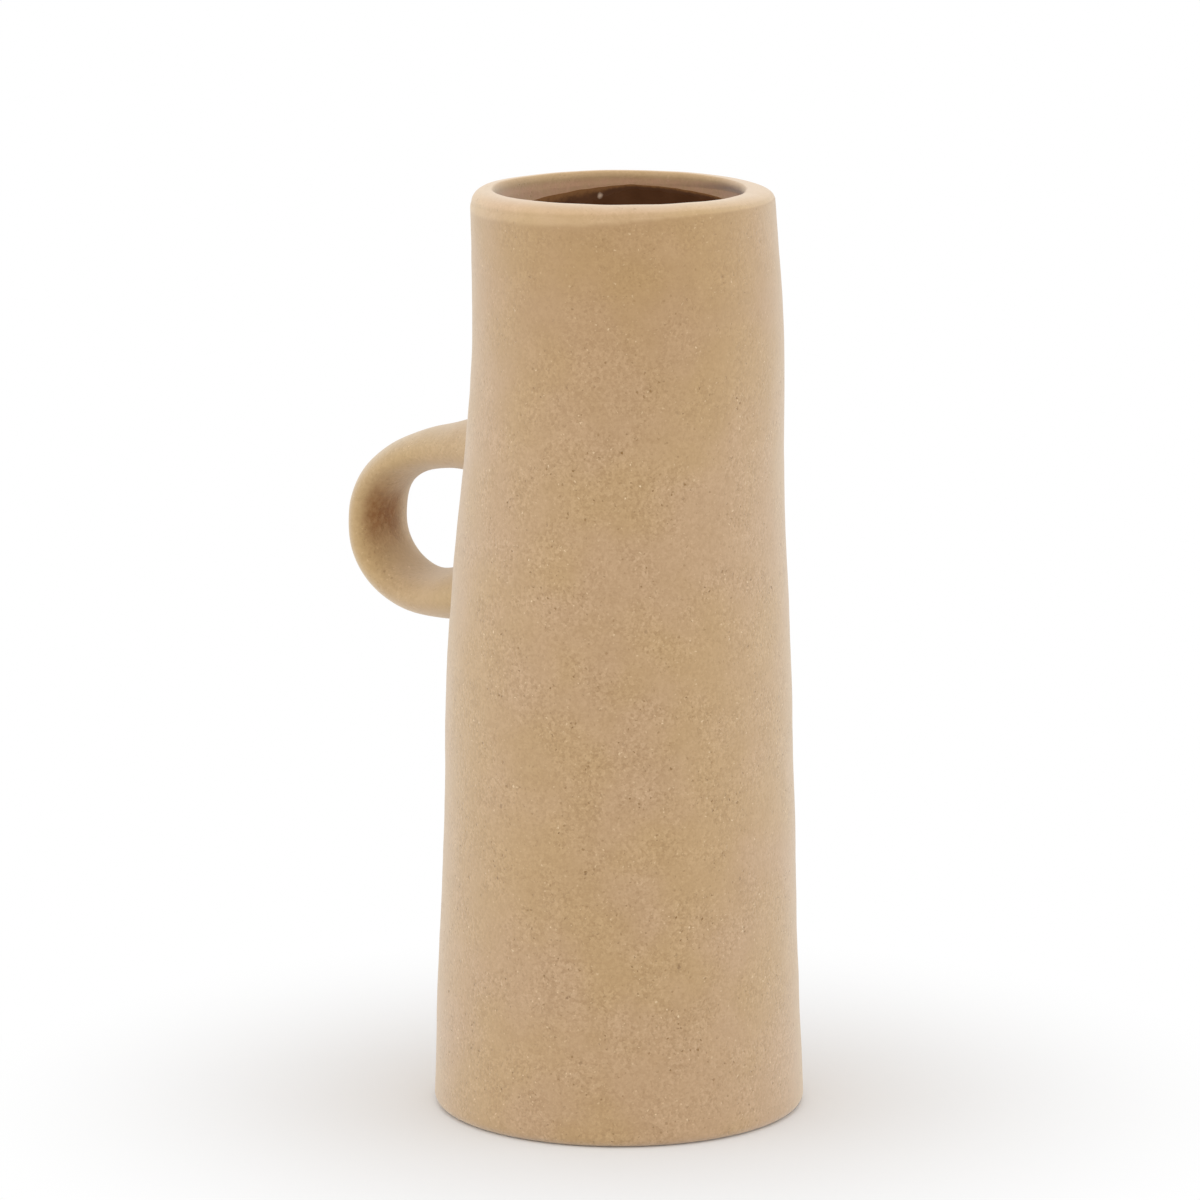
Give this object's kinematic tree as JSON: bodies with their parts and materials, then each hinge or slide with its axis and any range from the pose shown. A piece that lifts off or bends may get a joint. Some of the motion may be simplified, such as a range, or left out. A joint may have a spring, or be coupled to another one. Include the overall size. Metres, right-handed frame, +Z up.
{
  "type": "jar",
  "caption": "Tall hand-built clay jar with gently tapered sides, a round wiped lip, a glazed inside and one small strap handle that loops out from the neck.",
  "frame": {"origin": "centre of the resting face under the floor slab", "axes": "+Z up along the jar, -X from the jar towards the handle, which stands in the XZ plane"},
  "size_m": [0.1607, 0.1208, 0.3002],
  "materials": {
    "clay": "matte",
    "wiped_clay": "matte",
    "glaze": "gloss"
  },
  "bodies": {
    "root": {"floor_slab": "clay", "wall": "clay", "rim_coil": "wiped_clay", "seam_coil": "clay", "inner_glaze": "glaze", "handle": "wiped_clay"}
  },
  "joints": []
}
